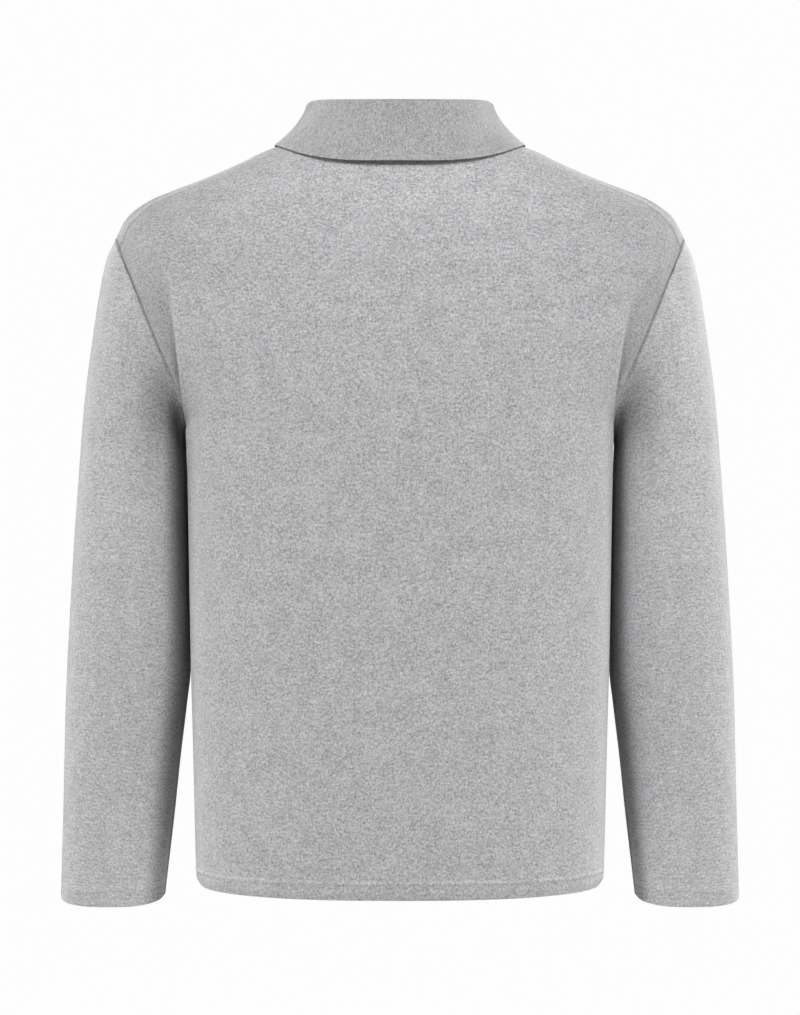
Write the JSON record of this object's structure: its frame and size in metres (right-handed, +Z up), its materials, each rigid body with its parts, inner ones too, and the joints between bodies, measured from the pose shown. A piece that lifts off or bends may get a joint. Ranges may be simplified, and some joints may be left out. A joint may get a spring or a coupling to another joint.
{
  "type": "stand collar cardigan",
  "caption": "Knitted long-sleeved cardigan with a turned-down stand collar and a buttoned front, shaped as worn, hollow, with open neck, hem and cuffs.",
  "frame": {"origin": "middle of the neck, level with the points where the shoulder ridges reach the collar", "axes": "+Z up along the wearer's height, +Y forwards out of the buttoned front, +X to the wearer's right"},
  "size_m": [0.6084, 0.2499, 0.7126],
  "materials": {
    "back": "matte",
    "front_left": "matte",
    "front_right": "matte",
    "sleeve_left": "matte",
    "sleeve_right": "matte",
    "button_band_left": "matte",
    "button_band_right": "matte",
    "collar": "matte",
    "buttons": "semi-gloss"
  },
  "bodies": {
    "root": {"back": "back", "front_left": "front_left", "front_right": "front_right", "sleeve_left": "sleeve_left", "sleeve_right": "sleeve_right", "button_band_left": "button_band_left", "button_band_right": "button_band_right", "collar": "collar", "button_1": "buttons", "button_2": "buttons", "button_3": "buttons", "button_4": "buttons", "button_5": "buttons", "button_6": "buttons", "button_7": "buttons"}
  },
  "joints": []
}
